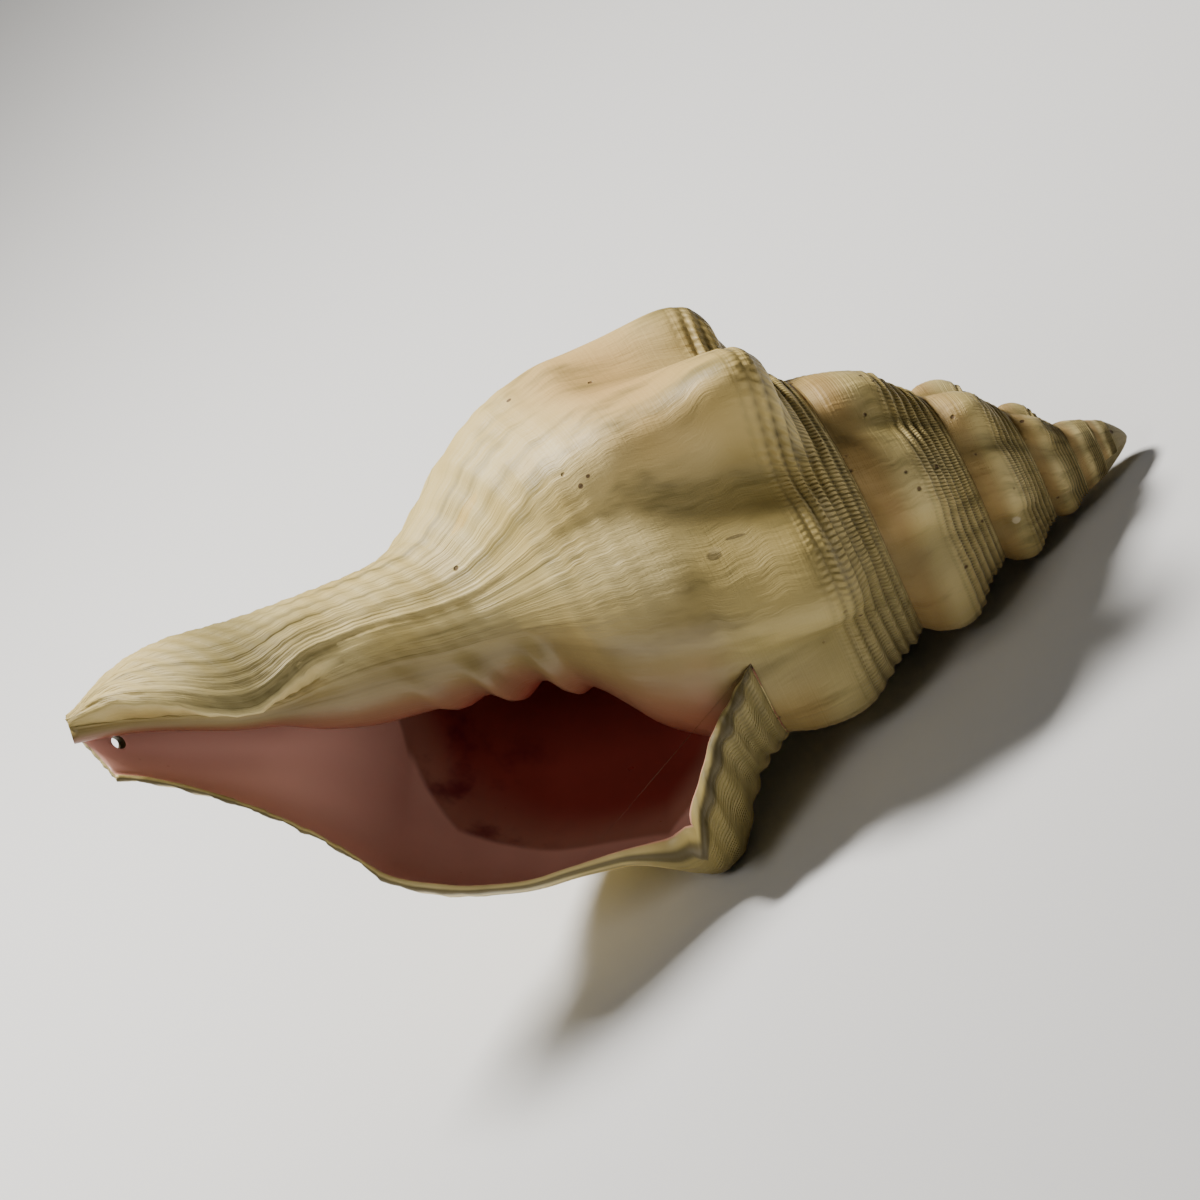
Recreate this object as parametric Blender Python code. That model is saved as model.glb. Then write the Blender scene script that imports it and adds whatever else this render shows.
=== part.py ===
"""Large knobbed chank shell, lying on its outer lip.

One closed body in metres, +Z up. The surface is a spiral of growth: t counts whorls
(0 at the lip, negative towards the apex) and s runs across one whorl from the upper
seam (0) over the shoulder to the next seam (1), down the base (2) and along the canal
to its end (3).
"""

import math

import bpy
import bmesh
import numpy as np
from mathutils import Euler, Matrix, Vector

NAME = "shell"
MM = 0.001

# Size and growth
LENGTH = 299.0            # height of the canal's end below the apex
LIP_SETBACK = 9.0         # how far the lip stops short of the canal's end
SEAM_HEIGHT = 119.0       # height of the seam at the lip
SEAM_RADIUS = 53.6        # radius of the seam at the lip
HEIGHT_GROWTH = (0.479, -0.011)
RADIUS_GROWTH = (0.374, -0.0204)
WHORLS = 6
LIP_ANGLE = -33.0         # where the lip meets the shell, degrees round the axis

# Profile across one whorl, as fractions of the step between two seams
SPIRE_RAMP = ((0, .12, .24, .36, .50, .72, 1.0), (0, .22, .40, .53, .64, .82, 1.0))
BODY_WALL = (
    (0, .12, .22, .32, .42, .52, .81, 1.09, 1.38, 1.57, 1.73, 1.83, 1.97, 2.15, 2.34, 2.6, 3.2),
    (0, .20, .38, .60, .72, .80, .92, .95, .80, .56, .27, -.05, -.52, -1.02, -1.37, -1.62, -2.0),
)
KNOB_STATIONS = (0, .12, .20, .27, .33, .42, .52, .81, 1.09, 1.38, 1.57, 1.73, 1.83)
SPIRE_KNOB = (0, .04, .12, .30, .52, .85, 1.0, .50, 0, 0, 0, 0, 0)
BODY_KNOB = (0, .02, .22, .80, 1.0, .97, .88, .55, .38, .25, .17, .05, 0)
LIP_KNOB = (0, .02, .22, .60, .92, 1.0, .80, .14, .04, .05, .10, .10, 0)
KNOB_PLACES = (
    (-12, -2.10, -1.90, -1.745, -1.106, -.654, -.144, 1.0),
    (-67.2, -9, -8, -7, -3, 0, 3, 9.73),
)
SPIRE_KNOB_SIZE = ((-8, -4, -2.1, -1.7, -1.1), (.46, .48, .52, .34, .34))
BODY_KNOB_SIZE = 0.78
LIP_KNOB_SIZE = 0.72

# Columella, canal and lip
CANAL_RADIUS = (
    (165, 200, 220, 247, 264, 275, 283.5, 290, 294, 299),
    (22, 23, 22, 21, 20.4, 18.2, 14.7, 10.6, 7.4, 4.2),
)
COLUMELLA_RADIUS = (
    (82, 124, 165, 212, 231, 247, 264, 291, 299),
    (9.4, 11.6, 14.3, 15.1, 12.1, 5.5, 3.3, 2.2, 1.4),
)
FOLDS = ((162, 4.6), (178, 4.1), (193.5, 1.9))
FOLD_WIDTH = 3.6
EDGE_TURN = -0.8875
EDGE_LINE = ((179, 203, 227, 252, 270, 283, 299), (-.87, -.875, -.886, -.944, -.90, -.86, -.80))
LIP_SWEEP = ((0, .36, .6, 1.5, 1.8, 2.6), (0, -26, -41, -41, -47, -40))
BLEND = 9.9
TIP_BLEND = 3.0
CANAL_BEND = 4.9
APEX_BEND = -2.2

# Wall and cavity
LIP_WALL = ((0, .2, .4, .6, 2, 3), (4.6, 4.8, 4.6, 2.8, 2.5, 1.9))
DEEP_WALL = ((0, .2, .4, .6, 2, 3), (5.0, 5.6, 6.2, 5.0, 4.4, 2.6))
CAVITY_TURNS = ((0, 150, 185, 215, 255, 299), (.75, .75, .70, .60, .52, .50))
INNER_KNOB_SHARE = 0.4
RIM_BULGE = 0.42
HOLE_DIAMETER = 4.0
HOLE_PLACE = (-10.0, -0.6, 289.8)
HOLE_LENGTH = 13.0

# Mesh
APEX = (0, -0.3, -1.4)
DOME = (0.62, 0.3)
COLUMNS = 40
CAVITY_COLUMNS = 30
RAMP_ROWS = (0, .10, .20, .27, .34, .42, .55, .75, 1.0)
WALL_ROWS = (1.24, 1.50, 1.75, 2.0)
CANAL_ROWS = (.04, .08, .12, .16, .20, .25, .31, .38, .46, .56, .67, .78, .89, 1.0)
BASE_STATION = 1.75

# Rest
REST_TURN = (62.82, -21.8, -79.2)
REST_FLAT = 0.35


def curve(x, table):
    """Value at x of a smooth curve through a table of two rows that never overshoots."""
    xs = np.asarray(table[0], float)
    ys = np.asarray(table[1], float)
    slope = np.diff(ys) / np.diff(xs)
    tangent = np.zeros_like(ys)
    before, after = slope[:-1], slope[1:]
    same = before * after > 0
    tangent[1:-1][same] = 2 * before[same] * after[same] / (before[same] + after[same])
    tangent[0], tangent[-1] = slope[0], slope[-1]
    x = np.clip(x, xs[0], xs[-1])
    i = np.clip(np.searchsorted(xs, x) - 1, 0, len(xs) - 2)
    width = xs[i + 1] - xs[i]
    u = (x - xs[i]) / width
    low = (1 + 2 * u) * (1 - u) ** 2 * ys[i] + u * (1 - u) ** 2 * width * tangent[i]
    high = u * u * (3 - 2 * u) * ys[i + 1] + u * u * (u - 1) * width * tangent[i + 1]
    return low + high


def step(low, high, x):
    """Smooth rise from 0 at low to 1 at high."""
    u = np.clip((x - low) / (high - low), 0, 1)
    return u * u * (3 - 2 * u)


def soft_max(a, b, width):
    """The larger of two values, rounded where they cross."""
    return 0.5 * (a + b + np.sqrt((a - b) ** 2 + width * width))


def seam_height(t):
    """Height of the seam at growth t."""
    return SEAM_HEIGHT * np.exp(HEIGHT_GROWTH[0] * t + HEIGHT_GROWTH[1] * t * t)


def seam_radius(t):
    """Radius of the seam at growth t."""
    return SEAM_RADIUS * np.exp(RADIUS_GROWTH[0] * t + RADIUS_GROWTH[1] * t * t)


def knob_wave(t):
    """1 on the crest of a knob and 0 between two knobs."""
    number = np.interp(t, *KNOB_PLACES)
    return (0.5 + 0.5 * np.cos(2 * math.pi * number)) ** 1.4


def knob(t, f):
    """Height of the knobs at station f, as a fraction of the step between seams."""
    body = step(-1.12, -.85, t)
    lip = step(-.42, -.20, t)
    size = curve(f, (KNOB_STATIONS, SPIRE_KNOB)) * curve(t, SPIRE_KNOB_SIZE)
    size += (curve(f, (KNOB_STATIONS, BODY_KNOB)) * BODY_KNOB_SIZE - size) * body
    size += (curve(f, (KNOB_STATIONS, LIP_KNOB)) * LIP_KNOB_SIZE - size) * lip
    return size * knob_wave(t)


def whorl(t, f, knob_share=1.0):
    """Radius of the whorl at growth t and station f."""
    body = step(-1.2, -.85, t)
    wall = curve(f, BODY_WALL)
    ramp = curve(np.minimum(f, 1), SPIRE_RAMP)
    rise = (1 - curve(1.0, BODY_WALL)) * (1 - body)
    below = wall + rise * (1 - step(1.0, 1.3, f))
    share = np.where(f <= 1, ramp + (curve(np.minimum(f, 1), BODY_WALL) - ramp) * body, below)
    share = share + knob(t, f) * knob_share
    near, far = seam_radius(t), seam_radius(t + 1)
    return near + share * (far - near)


def folded_whorl(t, f, knob_share=1.0):
    """Whorl radius whose upper seam follows the whorl before it."""
    carried = whorl(t - 1, 1.0) - seam_radius(t)
    return whorl(t, f, knob_share) + carried * (1 - step(0, .22, f))


def core(t, h, before):
    """Radius of the columella, which becomes the outside of the canal past its edge."""
    canal = curve(h, CANAL_RADIUS)
    pillar = curve(h, COLUMELLA_RADIUS)
    past = step(-.0125, .0125, before - EDGE_TURN)
    gradual = step(-.35, .25, before - EDGE_TURN)
    low = step(222, 236, h)
    return pillar + (canal - pillar) * (gradual * (1 - low) + past * low)


def folds(t, h):
    """Height of the spiral folds on the columella."""
    total = 0
    for place, size in FOLDS:
        middle = place * np.exp(.34 * (t + 1.158))
        total = total + size * np.exp(-((h - middle) / FOLD_WIDTH) ** 2)
    return total * (1 - step(-1.02, -.92, t))


def station_height(t, s):
    """Height at growth t of the row s, and the station it has across the whorl."""
    near, far = seam_height(t), seam_height(t + 1)
    f = np.where(s <= 1, s, 1 + (BASE_STATION - 1) * (np.clip(s, 1, 2) - 1))
    base = near + f * (far - near)
    end = LENGTH - LIP_SETBACK * step(-.45, -.05, t)
    h = base + (end - base) * np.clip(s - 2, 0, 1)
    return h, (h - near) / (far - near)


def cavity_reach(lap, rows):
    """How many whorls back from the lip the cavity ends, on each row of one lap."""
    reach = np.full(len(rows), .6)
    for _ in range(12):
        reach = 0.5 * reach + 0.5 * curve(station_height(lap - reach, rows)[0], CAVITY_TURNS)
    return reach


def lip_station(s):
    """Station used for the sweep of the lip."""
    return np.where(s <= 1, s, np.where(s <= 2, 1 + (BASE_STATION - 1) * (s - 1), 1.75 + .85 * (s - 2)))


def section(t, s, knob_share=1.0):
    """Radius, height and angle of the outside at growth t and row s."""
    t = t + curve(lip_station(s), LIP_SWEEP) / 360 * step(-.3, 0, t)
    before = t
    h, f = station_height(t, s)
    near_edge = np.where(t < EDGE_TURN, step(-.30, 0, t - EDGE_TURN), 1 - step(0, .30, t - EDGE_TURN))
    t = t + (curve(h, EDGE_LINE) - EDGE_TURN) * near_edge * step(193, 220, h)
    h, f = station_height(t, s)
    wall = folded_whorl(t, f, knob_share)
    blend = BLEND + (TIP_BLEND - BLEND) * step(250, 285, h)
    low = soft_max(wall, core(t, h, before), blend) + folds(t, h)
    r = wall + (low - wall) * step(1.0, 1.3, s)
    return r, h, np.radians(LIP_ANGLE + 360 * t)


def place(r, h, angle):
    """Point in the shell's own frame from radius, height and angle."""
    bend = CANAL_BEND * step(247, 297, h) + APEX_BEND * np.exp(-((h - 19) / 10) ** 2)
    along = h - 3.3 * np.exp(-h / 6.9)
    return np.stack([r * np.cos(angle), r * np.sin(angle) + bend, along], -1)


def outside(t, s):
    """Points of the outside."""
    return place(*section(t, s))


def inside(t, s):
    """Points of the inside of the outer wall."""
    r, h, angle = section(t, s, INNER_KNOB_SHARE)
    small = 0.004
    r1, h1, _ = section(t, np.clip(s + small, 0, 3), INNER_KNOB_SHARE)
    r0, h0, _ = section(t, np.clip(s - small, 0, 3), INNER_KNOB_SHARE)
    length = np.hypot(r1 - r0, h1 - h0) + 1e-9
    straight = step(1.5, 2.05, s)
    out_r = (h1 - h0) / length * (1 - straight) + straight
    out_h = -(r1 - r0) / length * (1 - straight)
    wall = curve(s, LIP_WALL)
    wall = wall + (curve(s, DEEP_WALL) - wall) * step(0, .25, -t)
    return place(r - wall * out_r, h - wall * out_h, angle)


def grid(mesh, points):
    """Vertices for an array of points."""
    return [[mesh.verts.new(Vector(p) * MM) for p in row] for row in points]


def sheet(mesh, rows):
    """Triangles over a grid of vertices, cut along the shorter diagonal."""
    for near, far in zip(rows[:-1], rows[1:]):
        for j in range(len(near) - 1):
            a, b, c, d = near[j], near[j + 1], far[j + 1], far[j]
            if (a.co - c.co).length <= (b.co - d.co).length:
                mesh.faces.new((a, b, c))
                mesh.faces.new((a, c, d))
            else:
                mesh.faces.new((a, b, d))
                mesh.faces.new((b, c, d))


def zipper(mesh, one, two):
    """Triangles between two lines of vertices."""
    i = j = 0
    while i < len(one) - 1 or j < len(two) - 1:
        by_one = (one[i + 1].co - two[j].co).length if i < len(one) - 1 else math.inf
        by_two = (one[i].co - two[j + 1].co).length if j < len(two) - 1 else math.inf
        if by_one <= by_two:
            ring = [one[i], one[i + 1], two[j]]
            i += 1
        else:
            ring = [one[i], two[j + 1], two[j]]
            j += 1
        if len(set(ring)) == 3:
            mesh.faces.new(ring)


def build_shell():
    """The shell as one closed mesh in its own frame: height along +Z, lip side to +X."""
    wall_rows = tuple(RAMP_ROWS) + WALL_ROWS
    rows = np.array(wall_rows + tuple(2 + u for u in CANAL_ROWS))
    seam = len(RAMP_ROWS) - 1
    mesh = bmesh.new()

    # Spire: the last row of each whorl is the first row of the next
    count = (WHORLS - 1) * COLUMNS
    t = np.arange(count + 1)[:, None] / COLUMNS - WHORLS
    points = outside(t, rows[None, :seam + 1] + 0 * t)
    spire = grid(mesh, points[:, 1:])
    start = grid(mesh, points[:COLUMNS, :1])
    for i, line in enumerate(spire):
        line.insert(0, start[i][0] if i < COLUMNS else spire[i - COLUMNS][-1])
    sheet(mesh, spire)
    apex = mesh.verts.new(Vector(APEX) * MM)
    ring = [line[0] for line in spire[:COLUMNS + 1]] + spire[0][1:-1][::-1]
    dome = []
    for v in ring:
        across = apex.co + (v.co - apex.co) * DOME[0]
        dome.append(mesh.verts.new((across.x, across.y, apex.co.z + (v.co.z - apex.co.z) * DOME[1])))
    sheet(mesh, [ring + ring[:1], dome + dome[:1]])
    for a, b in zip(dome, dome[1:] + dome[:1]):
        mesh.faces.new((apex, a, b))

    # Body whorl, from the end of the spire round to the lip
    t = np.arange(COLUMNS + 1)[:, None] / COLUMNS - 1
    points = outside(t, rows[None, :] + 0 * t)
    body = [spire[-1] + grid(mesh, points[:1, seam + 1:])[0]]
    for i, line in enumerate(grid(mesh, points[1:, 1:]), 1):
        body.append([spire[count - COLUMNS + i][-1]] + line)
    sheet(mesh, body)

    # Pillar side of the cavity
    t = np.arange(CAVITY_COLUMNS + 1)[:, None] / CAVITY_COLUMNS
    reach = cavity_reach(-1, rows[seam + 1:])
    points = outside(-1 - t * reach, rows[None, seam + 1:] + 0 * t)
    pillar = [body[0][seam + 1:]] + grid(mesh, points[1:])
    sheet(mesh, pillar)

    # Outer side of the cavity, which meets the pillar side under the seam
    reach = cavity_reach(0, rows[2:])
    points = inside(-t * reach, rows[None, 2:] + 0 * t)
    lining = [[edge[0]] + line for edge, line in zip(pillar, grid(mesh, points))]
    sheet(mesh, lining)

    # Rounded lip, the blind end of the cavity and the end of the canal
    tip = np.zeros(len(rows))
    out, back = outside(tip, rows), outside(tip - .01, rows)
    growth = (out - back) / np.linalg.norm(out - back, axis=-1, keepdims=True)
    wall = curve(rows, LIP_WALL)[:, None]
    middle = 0.5 * (out + inside(tip, rows)) + growth * wall * RIM_BULGE
    rim = [body[-1][0]] + grid(mesh, middle[None, 1:])[0]
    zipper(mesh, body[-1], rim)
    zipper(mesh, rim, lining[0])
    zipper(mesh, lining[-1], pillar[-1])
    loop = [line[-1] for line in body] + [rim[-1]] + [line[-1] for line in lining]
    loop += [line[-1] for line in pillar[:0:-1]]
    edges = [mesh.edges.get((a, b)) for a, b in zip(loop, loop[1:] + loop[:1])]
    bmesh.ops.triangle_fill(mesh, edges=edges, use_beauty=False, use_dissolve=False)
    bmesh.ops.recalc_face_normals(mesh, faces=mesh.faces)
    return mesh


def shell_material():
    """Pale chalky shell."""
    material = bpy.data.materials.new("shell")
    material.use_nodes = True
    shader = material.node_tree.nodes["Principled BSDF"]
    shader.inputs["Base Color"].default_value = (0.72, 0.63, 0.47, 1)
    shader.inputs["Roughness"].default_value = 0.5
    return material


def add_object(name, mesh, collection):
    """Object made from a bmesh, in a collection."""
    data = bpy.data.meshes.new(name)
    mesh.to_mesh(data)
    mesh.free()
    item = bpy.data.objects.new(name, data)
    collection.objects.link(item)
    return item


def cut(target, cutter):
    """Take the cutter out of the target."""
    modifier = target.modifiers.new(cutter.name, "BOOLEAN")
    modifier.operation = "DIFFERENCE"
    modifier.solver = "EXACT"
    modifier.object = cutter
    cutter.hide_render = True
    cutter.display_type = "WIRE"


def main():
    """Build the part."""
    for item in list(bpy.data.objects):
        bpy.data.objects.remove(item, do_unlink=True)
    parts = bpy.data.collections.new("chank shell")
    cutters = bpy.data.collections.new("cutters")
    bpy.context.scene.collection.children.link(parts)
    bpy.context.scene.collection.children.link(cutters)

    mesh = build_shell()
    turn = Euler([math.radians(a) for a in REST_TURN]).to_matrix().to_4x4()
    bmesh.ops.transform(mesh, matrix=turn, verts=mesh.verts)
    low = min(v.co.z for v in mesh.verts)
    middle = [0.5 * (min(v.co[k] for v in mesh.verts) + max(v.co[k] for v in mesh.verts)) for k in (0, 1)]
    rest = Matrix.Translation((-middle[0], -middle[1], -low - REST_FLAT * MM))
    bmesh.ops.transform(mesh, matrix=rest, verts=mesh.verts)
    shell = add_object(NAME, mesh, parts)
    shell.data.materials.append(shell_material())

    drill = bmesh.new()
    bmesh.ops.create_cone(
        drill, cap_ends=True, segments=24, depth=HOLE_LENGTH * MM,
        radius1=HOLE_DIAMETER / 2 * MM, radius2=HOLE_DIAMETER / 2 * MM,
    )
    aim = Matrix.Rotation(math.radians(90), 4, "Y")
    spot = Matrix.Translation(Vector(HOLE_PLACE) * MM)
    bmesh.ops.transform(drill, matrix=rest @ turn @ spot @ aim, verts=drill.verts)
    cut(shell, add_object("hole_cutter", drill, cutters))

    floor = bmesh.new()
    bmesh.ops.create_cube(floor, size=1)
    size = Matrix.Diagonal((0.6, 0.6, 0.1, 1))
    bmesh.ops.transform(floor, matrix=Matrix.Translation((0, 0, -0.05)) @ size, verts=floor.verts)
    cut(shell, add_object("floor_cutter", floor, cutters))


main()
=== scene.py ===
"""Visual model of a large knobbed chank shell as it lies, in soft studio light.

The shell is one skin that follows a rule of growth. NumPy lays the skin out as a flat
chart, and a Geometry Nodes tree winds the chart round the axis and raises the cords,
threads and growth lines on it. Lengths are in millimetres up to the end of that tree.

Growth t counts whorls: 0 is the lip and -6 the apex. Row s runs across one whorl, from
the upper seam (0) to the next seam (1), down the base (2) and along the canal (3).
Station f is the height within a whorl as a fraction of the step between two seams.
"""

import logging
import math
from dataclasses import dataclass, field
from enum import Enum
from typing import Any, Dict, List, Optional, Sequence, Tuple, Union

import bmesh
import bpy
import numpy as np
from mathutils import Euler, Matrix, Vector


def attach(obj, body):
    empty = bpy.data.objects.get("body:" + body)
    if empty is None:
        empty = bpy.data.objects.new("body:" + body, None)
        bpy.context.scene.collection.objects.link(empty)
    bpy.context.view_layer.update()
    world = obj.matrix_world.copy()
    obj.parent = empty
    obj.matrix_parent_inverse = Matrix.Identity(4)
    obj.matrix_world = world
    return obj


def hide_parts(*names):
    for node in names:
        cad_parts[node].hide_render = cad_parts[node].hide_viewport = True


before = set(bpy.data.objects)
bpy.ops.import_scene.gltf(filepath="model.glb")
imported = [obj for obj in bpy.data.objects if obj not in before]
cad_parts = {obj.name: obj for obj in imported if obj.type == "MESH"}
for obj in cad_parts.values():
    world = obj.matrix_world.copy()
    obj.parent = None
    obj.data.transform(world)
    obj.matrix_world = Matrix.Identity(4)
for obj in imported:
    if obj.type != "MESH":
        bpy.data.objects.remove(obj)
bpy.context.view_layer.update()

MM = 0.001
LOG = logging.getLogger("chank shell")

Array = np.ndarray
Colour = Tuple[float, float, float]


class Side(Enum):
    """Which face of the wall a point of the chart lies on."""

    OUTER = 0.0
    INNER = 1.0


class Trend(Enum):
    """Which of the seam's two growth curves is meant."""

    HEIGHT = "height"
    RADIUS = "radius"


def step(low: float, high: float, x: Array) -> Array:
    """Smooth rise from 0 at low to 1 at high."""
    u = np.clip((x - low) / (high - low), 0, 1)
    return u * u * (3 - 2 * u)


def soft_max(a: Array, b: Array, width: Array) -> Array:
    """The larger of two values, rounded over a width where they cross."""
    return 0.5 * (a + b + np.sqrt((a - b) ** 2 + width * width))


@dataclass(frozen=True)
class Curve:
    """Smooth curve through a table of points, which never overshoots them."""

    xs: Tuple[float, ...]
    ys: Tuple[float, ...]

    def at(self, x: Array) -> Array:
        """Reads the curve.

        Args:
            x: Places to read at. Past the table's ends the end value holds.

        Returns:
            The values there.
        """
        xs, ys = np.asarray(self.xs, float), np.asarray(self.ys, float)
        slope = np.diff(ys) / np.diff(xs)
        tangent = np.zeros_like(ys)
        before, after = slope[:-1], slope[1:]
        same = before * after > 0
        tangent[1:-1][same] = 2 * before[same] * after[same] / (before[same] + after[same])
        tangent[0], tangent[-1] = slope[0], slope[-1]
        x = np.clip(x, xs[0], xs[-1])
        i = np.clip(np.searchsorted(xs, x) - 1, 0, len(xs) - 2)
        width = xs[i + 1] - xs[i]
        u = (x - xs[i]) / width
        low = (1 + 2 * u) * (1 - u) ** 2 * ys[i] + u * (1 - u) ** 2 * width * tangent[i]
        high = u * u * (3 - 2 * u) * ys[i + 1] + u * u * (u - 1) * width * tangent[i + 1]
        return low + high


@dataclass(frozen=True)
class Growth:
    """The rule that the seam follows: height and radius grow a little more each turn."""

    seam_height: float = 119.0
    seam_radius: float = 53.6
    height_rate: Tuple[float, float] = (0.479, -0.011)
    radius_rate: Tuple[float, float] = (0.374, -0.0204)
    whorls: int = 6
    lip_angle: float = -33.0
    canal_bend: float = 4.9
    bend_start: float = 247.0
    bend_end: float = 297.0
    apex_bend: float = -2.2
    apex_bend_height: float = 19.0
    apex_bend_width: float = 10.0
    apex_squeeze: float = 3.3
    squeeze_height: float = 6.9

    def height(self, t: Array) -> Array:
        """Height of the seam at growth t."""
        return self.seam_height * np.exp(self.height_rate[0] * t + self.height_rate[1] * t * t)

    def radius(self, t: Array) -> Array:
        """Radius of the seam at growth t."""
        return self.seam_radius * np.exp(self.radius_rate[0] * t + self.radius_rate[1] * t * t)


@dataclass(frozen=True)
class Knobs:
    """The row of knobs on the shoulder of each whorl.

    The places number the knobs along the growth, and the three profiles are given at the
    stations. Front raises the knobs of some turns, and lean sets each one off to a side.
    """

    places: Curve = Curve((-12, -2.10, -1.90, -1.745, -1.106, -.654, -.144, 1.0),
                          (-67.2, -9, -8, -7, -3, 0, 3, 9.73))
    stations: Tuple[float, ...] = (0, .12, .20, .27, .33, .42, .52, .81, 1.09, 1.38, 1.57, 1.73, 1.83)
    spire: Tuple[float, ...] = (0, .04, .14, .36, .60, .90, 1.0, .66, 0, 0, 0, 0, 0)
    body: Tuple[float, ...] = (0, .02, .22, .80, 1.0, .97, .88, .55, .38, .25, .17, .05, 0)
    lip: Tuple[float, ...] = (0, .02, .22, .60, .92, 1.0, .80, .14, .04, .05, .10, .10, 0)
    spire_size: Curve = Curve((-8, -4, -2.1, -1.7, -1.1), (.46, .48, .52, .34, .34))
    body_size: float = 0.78
    lip_size: float = 0.72
    front: Curve = Curve((-4.2, -3.6, -1.5, -1.3, -1.06, -.98, -.82, -.70),
                         (.7, 1.25, 1.3, 1.35, 1.3, 1.85, 1.95, 1.0))
    sharpness: float = 1.4
    lean: float = 0.5

    def wave(self, t: Array) -> Array:
        """1 on the crest of a knob and 0 between two knobs."""
        number = np.interp(t, self.places.xs, self.places.ys)
        number = number + self.lean * (np.cos(2 * math.pi * number) - 1) / (2 * math.pi)
        sharp = 1.0 + (self.sharpness - 1.0) * step(-1.3, -1.0, t)
        return (0.5 + 0.5 * np.cos(2 * math.pi * number)) ** sharp

    def at(self, t: Array, f: Array) -> Array:
        """Height of the knobs.

        Args:
            t: Growth.
            f: Station across the whorl.

        Returns:
            Height as a fraction of the step between seams.
        """
        body, lip = step(-1.12, -.85, t), step(-.42, -.20, t)
        size = Curve(self.stations, self.spire).at(f) * self.spire_size.at(t)
        size = size + (Curve(self.stations, self.body).at(f) * self.body_size - size) * body
        size = size + (Curve(self.stations, self.lip).at(f) * self.lip_size - size) * lip
        return size * self.wave(t) * self.front.at(t)


@dataclass(frozen=True)
class Whorl:
    """Profile of a whorl outside the columella."""

    growth: Growth = Growth()
    knobs: Knobs = Knobs()
    spire_ramp: Curve = Curve((0, .12, .24, .36, .50, .72, 1.0), (0, .22, .40, .53, .64, .82, 1.0))
    body_wall: Curve = Curve(
        (0, .12, .22, .32, .42, .52, .81, 1.09, 1.38, 1.57, 1.73, 1.83, 1.97, 2.15, 2.34, 2.6, 3.2),
        (0, .20, .38, .60, .72, .80, .92, .95, .80, .56, .27, -.05, -.52, -1.02, -1.37, -1.62, -2.0))

    def radius(self, t: Array, f: Array, knob_share: float) -> Array:
        """Radius at growth t and station f, with a share of the knobs' height."""
        body = step(-1.2, -.85, t)
        wall = self.body_wall.at(f)
        ramp = self.spire_ramp.at(np.minimum(f, 1))
        rise = (1 - self.body_wall.at(np.float64(1.0))) * (1 - body)
        below = wall + rise * (1 - step(1.0, 1.3, f))
        above = ramp + (self.body_wall.at(np.minimum(f, 1)) - ramp) * body
        share = np.where(f <= 1, above, below) + self.knobs.at(t, f) * knob_share
        near, far = self.growth.radius(t), self.growth.radius(t + 1)
        return near + share * (far - near)

    def folded(self, t: Array, f: Array, knob_share: float) -> Array:
        """Radius of a whorl whose upper seam follows the whorl before it."""
        carried = self.radius(t - 1, np.ones_like(f), 1.0) - self.growth.radius(t)
        return self.radius(t, f, knob_share) + carried * (1 - step(0, .22, f))


@dataclass(frozen=True)
class Columella:
    """The pillar in the middle, its folds and the canal that it becomes."""

    canal: Curve = Curve((165, 200, 220, 247, 264, 275, 283.5, 290, 294, 299),
                         (22, 23, 22, 21, 20.4, 18.2, 14.7, 10.6, 7.4, 4.2))
    pillar: Curve = Curve((82, 124, 165, 212, 231, 247, 264, 291, 299),
                          (9.4, 11.6, 14.3, 15.1, 12.1, 5.5, 3.3, 2.2, 1.4))
    folds: Tuple[Tuple[float, float], ...] = ((162, 4.6), (178, 4.1), (193.5, 1.9))
    fold_width: float = 3.6
    fold_growth: float = .34
    fold_turn: float = -1.158
    edge_turn: float = -.8875
    edge_line: Curve = Curve((179, 203, 227, 252, 270, 283, 299),
                             (-.87, -.875, -.886, -.944, -.90, -.86, -.80))

    def radius(self, h: Array, before: Array) -> Array:
        """Radius at height h, which opens out to the canal's past the edge."""
        past = step(-.0125, .0125, before - self.edge_turn)
        gradual = step(-.35, .25, before - self.edge_turn)
        low = step(222, 236, h)
        pillar = self.pillar.at(h)
        return pillar + (self.canal.at(h) - pillar) * (gradual * (1 - low) + past * low)

    def fold_height(self, t: Array, h: Array) -> Array:
        """Height of the spiral folds at growth t and height h."""
        total = np.zeros_like(h)
        for place, size in self.folds:
            middle = place * np.exp(self.fold_growth * (t - self.fold_turn))
            total = total + size * np.exp(-((h - middle) / self.fold_width) ** 2)
        return total * (1 - step(-1.02, -.92, t))


@dataclass
class Points:
    """A block of the skin in the rule's own numbers."""

    turn: Array
    row: Array
    wound: Array
    radius: Array
    height: Array


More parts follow.
